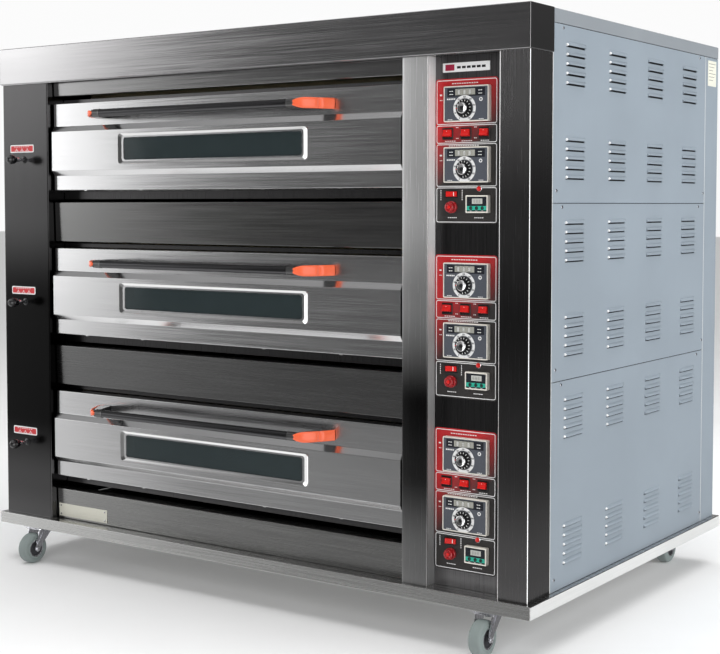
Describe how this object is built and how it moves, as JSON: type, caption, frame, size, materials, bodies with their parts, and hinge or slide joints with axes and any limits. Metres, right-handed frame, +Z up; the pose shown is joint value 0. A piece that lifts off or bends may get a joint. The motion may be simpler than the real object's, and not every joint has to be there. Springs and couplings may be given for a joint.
{
  "type": "deck oven",
  "caption": "Castored electric deck oven with stacked drop-down doors, a canopy, louvred sides, damper pulls and a control bay of dials, timers and rocker switches.",
  "frame": {"origin": "on the floor, under the centre of the overall box", "axes": "+X to the right seen from the front, +Y from front to back, +Z up"},
  "size_m": [1.728, 1.207, 1.4623],
  "materials": {
    "black_steel": "black coated stainless, satin",
    "door_steel": "brushed along its length",
    "base_steel": "brushed",
    "grey_sheet": "satin blue-grey",
    "galvanised_sheet": "galvanised",
    "chamber_steel": "aluminised",
    "hearth_stone": "fired stone",
    "element_steel": "oxidised",
    "mineral_wool": "mineral wool",
    "panel_black": "black with a printed overlay",
    "black_plastic": "moulded",
    "cream_plastic": "moulded",
    "red_plastic": "translucent red",
    "knob_black": "black with a bright cap",
    "handle_black": "gloss black",
    "window_glass": "tempered, tinted",
    "zinc_steel": "bright zinc",
    "wheel_rubber": "non-marking grey rubber",
    "label_plate": "printed label"
  },
  "bodies": {
    "oven_body": {"base_frame": "base_steel", "canopy": "black_steel", "front_fascia": "black_steel", "side_panels": "grey_sheet", "rear_cover": "grey_sheet", "roof_cover": "galvanised_sheet", "oven_chambers": "chamber_steel", "hearth_stones": "hearth_stone", "heating_elements": "element_steel", "insulation": "mineral_wool", "control_panels": "panel_black", "control_gear": "black_plastic", "temperature_controllers": "cream_plastic", "timers": "cream_plastic", "switch_housings": "black_plastic", "hinge_brackets": "zinc_steel", "caster_plates": "zinc_steel", "panel_screws": "zinc_steel", "nameplates": "label_plate"},
    "door_lower": {"door_panel_lower": "door_steel", "door_window_lower": "window_glass", "door_handle_lower": "handle_black"},
    "damper_lower": {"damper_pull_lower": "handle_black"},
    "rocker_lower_top_heat": {"rocker_lower_top_heat": "red_plastic"},
    "rocker_lower_bottom_heat": {"rocker_lower_bottom_heat": "red_plastic"},
    "rocker_lower_light": {"rocker_lower_light": "red_plastic"},
    "rocker_lower_power": {"rocker_lower_power": "red_plastic"},
    "dial_knob_lower_upper_heat": {"dial_knob_lower_upper_heat": "knob_black"},
    "dial_knob_lower_lower_heat": {"dial_knob_lower_lower_heat": "knob_black"},
    "timer_keys_lower": {"timer_keys_lower": "black_plastic"},
    "door_middle": {"door_panel_middle": "door_steel", "door_window_middle": "window_glass", "door_handle_middle": "handle_black"},
    "damper_middle": {"damper_pull_middle": "handle_black"},
    "rocker_middle_top_heat": {"rocker_middle_top_heat": "red_plastic"},
    "rocker_middle_bottom_heat": {"rocker_middle_bottom_heat": "red_plastic"},
    "rocker_middle_light": {"rocker_middle_light": "red_plastic"},
    "rocker_middle_power": {"rocker_middle_power": "red_plastic"},
    "dial_knob_middle_upper_heat": {"dial_knob_middle_upper_heat": "knob_black"},
    "dial_knob_middle_lower_heat": {"dial_knob_middle_lower_heat": "knob_black"},
    "timer_keys_middle": {"timer_keys_middle": "black_plastic"},
    "door_upper": {"door_panel_upper": "door_steel", "door_window_upper": "window_glass", "door_handle_upper": "handle_black"},
    "damper_upper": {"damper_pull_upper": "handle_black"},
    "rocker_upper_top_heat": {"rocker_upper_top_heat": "red_plastic"},
    "rocker_upper_bottom_heat": {"rocker_upper_bottom_heat": "red_plastic"},
    "rocker_upper_light": {"rocker_upper_light": "red_plastic"},
    "rocker_upper_power": {"rocker_upper_power": "red_plastic"},
    "dial_knob_upper_upper_heat": {"dial_knob_upper_upper_heat": "knob_black"},
    "dial_knob_upper_lower_heat": {"dial_knob_upper_lower_heat": "knob_black"},
    "timer_keys_upper": {"timer_keys_upper": "black_plastic"},
    "caster_fork_front_left": {"caster_fork_front_left": "zinc_steel"},
    "caster_wheel_front_left": {"caster_wheel_front_left": "wheel_rubber"},
    "caster_fork_front_right": {"caster_fork_front_right": "zinc_steel"},
    "caster_wheel_front_right": {"caster_wheel_front_right": "wheel_rubber"},
    "caster_fork_rear_left": {"caster_fork_rear_left": "zinc_steel"},
    "caster_wheel_rear_left": {"caster_wheel_rear_left": "wheel_rubber"},
    "caster_fork_rear_right": {"caster_fork_rear_right": "zinc_steel"},
    "caster_wheel_rear_right": {"caster_wheel_rear_right": "wheel_rubber"}
  },
  "joints": [
    {"name": "door_lower_hinge", "type": "hinge", "parent": "oven_body", "child": "door_lower", "pos_m": [-0.0765, -0.4945, 0.2663], "axis": [1, 0, 0], "range_deg": [0, 90]},
    {"name": "damper_lower_pull", "type": "slide", "parent": "oven_body", "child": "damper_lower", "axis": [0, -1, 0], "range_m": [0, 0.06]},
    {"name": "rocker_lower_top_heat_tilt", "type": "hinge", "parent": "oven_body", "child": "rocker_lower_top_heat", "pos_m": [0.6195, -0.5025, 0.3793], "axis": [-1, 0, 0], "range_deg": [0, 24]},
    {"name": "rocker_lower_bottom_heat_tilt", "type": "hinge", "parent": "oven_body", "child": "rocker_lower_bottom_heat", "pos_m": [0.6677, -0.5025, 0.3793], "axis": [-1, 0, 0], "range_deg": [0, 24]},
    {"name": "rocker_lower_light_tilt", "type": "hinge", "parent": "oven_body", "child": "rocker_lower_light", "pos_m": [0.7159, -0.5025, 0.3793], "axis": [-1, 0, 0], "range_deg": [0, 24]},
    {"name": "rocker_lower_power_tilt", "type": "hinge", "parent": "oven_body", "child": "rocker_lower_power", "pos_m": [0.631, -0.5025, 0.2413], "axis": [0, 0, 1], "range_deg": [0, 24]},
    {"name": "dial_knob_lower_upper_heat_turn", "type": "hinge", "parent": "oven_body", "child": "dial_knob_lower_upper_heat", "pos_m": [0.6705, -0.5245, 0.4353], "axis": [0, 1, 0], "range_deg": [0, 300]},
    {"name": "dial_knob_lower_lower_heat_turn", "type": "hinge", "parent": "oven_body", "child": "dial_knob_lower_lower_heat", "pos_m": [0.6705, -0.5245, 0.2973], "axis": [0, 1, 0], "range_deg": [0, 300]},
    {"name": "timer_keys_lower_press", "type": "slide", "parent": "oven_body", "child": "timer_keys_lower", "axis": [0, 1, 0], "range_m": [0, 0.001], "stiffness_N_per_m": 600},
    {"name": "door_middle_hinge", "type": "hinge", "parent": "oven_body", "child": "door_middle", "pos_m": [-0.0765, -0.4945, 0.6683], "axis": [1, 0, 0], "range_deg": [0, 90]},
    {"name": "damper_middle_pull", "type": "slide", "parent": "oven_body", "child": "damper_middle", "axis": [0, -1, 0], "range_m": [0, 0.06]},
    {"name": "rocker_middle_top_heat_tilt", "type": "hinge", "parent": "oven_body", "child": "rocker_middle_top_heat", "pos_m": [0.6195, -0.5025, 0.7813], "axis": [-1, 0, 0], "range_deg": [0, 24]},
    {"name": "rocker_middle_bottom_heat_tilt", "type": "hinge", "parent": "oven_body", "child": "rocker_middle_bottom_heat", "pos_m": [0.6677, -0.5025, 0.7813], "axis": [-1, 0, 0], "range_deg": [0, 24]},
    {"name": "rocker_middle_light_tilt", "type": "hinge", "parent": "oven_body", "child": "rocker_middle_light", "pos_m": [0.7159, -0.5025, 0.7813], "axis": [-1, 0, 0], "range_deg": [0, 24]},
    {"name": "rocker_middle_power_tilt", "type": "hinge", "parent": "oven_body", "child": "rocker_middle_power", "pos_m": [0.631, -0.5025, 0.6433], "axis": [0, 0, 1], "range_deg": [0, 24]},
    {"name": "dial_knob_middle_upper_heat_turn", "type": "hinge", "parent": "oven_body", "child": "dial_knob_middle_upper_heat", "pos_m": [0.6705, -0.5245, 0.8373], "axis": [0, 1, 0], "range_deg": [0, 300]},
    {"name": "dial_knob_middle_lower_heat_turn", "type": "hinge", "parent": "oven_body", "child": "dial_knob_middle_lower_heat", "pos_m": [0.6705, -0.5245, 0.6993], "axis": [0, 1, 0], "range_deg": [0, 300]},
    {"name": "timer_keys_middle_press", "type": "slide", "parent": "oven_body", "child": "timer_keys_middle", "axis": [0, 1, 0], "range_m": [0, 0.001], "stiffness_N_per_m": 600},
    {"name": "door_upper_hinge", "type": "hinge", "parent": "oven_body", "child": "door_upper", "pos_m": [-0.0765, -0.4945, 1.0703], "axis": [1, 0, 0], "range_deg": [0, 90]},
    {"name": "damper_upper_pull", "type": "slide", "parent": "oven_body", "child": "damper_upper", "axis": [0, -1, 0], "range_m": [0, 0.06]},
    {"name": "rocker_upper_top_heat_tilt", "type": "hinge", "parent": "oven_body", "child": "rocker_upper_top_heat", "pos_m": [0.6195, -0.5025, 1.1833], "axis": [-1, 0, 0], "range_deg": [0, 24]},
    {"name": "rocker_upper_bottom_heat_tilt", "type": "hinge", "parent": "oven_body", "child": "rocker_upper_bottom_heat", "pos_m": [0.6677, -0.5025, 1.1833], "axis": [-1, 0, 0], "range_deg": [0, 24]},
    {"name": "rocker_upper_light_tilt", "type": "hinge", "parent": "oven_body", "child": "rocker_upper_light", "pos_m": [0.7159, -0.5025, 1.1833], "axis": [-1, 0, 0], "range_deg": [0, 24]},
    {"name": "rocker_upper_power_tilt", "type": "hinge", "parent": "oven_body", "child": "rocker_upper_power", "pos_m": [0.631, -0.5025, 1.0453], "axis": [0, 0, 1], "range_deg": [0, 24]},
    {"name": "dial_knob_upper_upper_heat_turn", "type": "hinge", "parent": "oven_body", "child": "dial_knob_upper_upper_heat", "pos_m": [0.6705, -0.5245, 1.2393], "axis": [0, 1, 0], "range_deg": [0, 300]},
    {"name": "dial_knob_upper_lower_heat_turn", "type": "hinge", "parent": "oven_body", "child": "dial_knob_upper_lower_heat", "pos_m": [0.6705, -0.5245, 1.1013], "axis": [0, 1, 0], "range_deg": [0, 300]},
    {"name": "timer_keys_upper_press", "type": "slide", "parent": "oven_body", "child": "timer_keys_upper", "axis": [0, 1, 0], "range_m": [0, 0.001], "stiffness_N_per_m": 600},
    {"name": "caster_front_left_swivel", "type": "hinge", "parent": "oven_body", "child": "caster_fork_front_left", "pos_m": [-0.74, -0.5165, 0.084], "axis": [0, 0, 1], "continuous": true},
    {"name": "caster_front_left_roll", "type": "hinge", "parent": "caster_fork_front_left", "child": "caster_wheel_front_left", "pos_m": [-0.74, -0.5465, 0.042], "axis": [1, 0, 0], "continuous": true},
    {"name": "caster_front_right_swivel", "type": "hinge", "parent": "oven_body", "child": "caster_fork_front_right", "pos_m": [0.74, -0.5165, 0.084], "axis": [0, 0, 1], "continuous": true},
    {"name": "caster_front_right_roll", "type": "hinge", "parent": "caster_fork_front_right", "child": "caster_wheel_front_right", "pos_m": [0.74, -0.5465, 0.042], "axis": [1, 0, 0], "continuous": true},
    {"name": "caster_rear_left_swivel", "type": "hinge", "parent": "oven_body", "child": "caster_fork_rear_left", "pos_m": [-0.74, 0.5295, 0.084], "axis": [0, 0, 1], "continuous": true},
    {"name": "caster_rear_left_roll", "type": "hinge", "parent": "caster_fork_rear_left", "child": "caster_wheel_rear_left", "pos_m": [-0.74, 0.4995, 0.042], "axis": [1, 0, 0], "continuous": true},
    {"name": "caster_rear_right_swivel", "type": "hinge", "parent": "oven_body", "child": "caster_fork_rear_right", "pos_m": [0.74, 0.5295, 0.084], "axis": [0, 0, 1], "continuous": true},
    {"name": "caster_rear_right_roll", "type": "hinge", "parent": "caster_fork_rear_right", "child": "caster_wheel_rear_right", "pos_m": [0.74, 0.4995, 0.042], "axis": [1, 0, 0], "continuous": true}
  ]
}
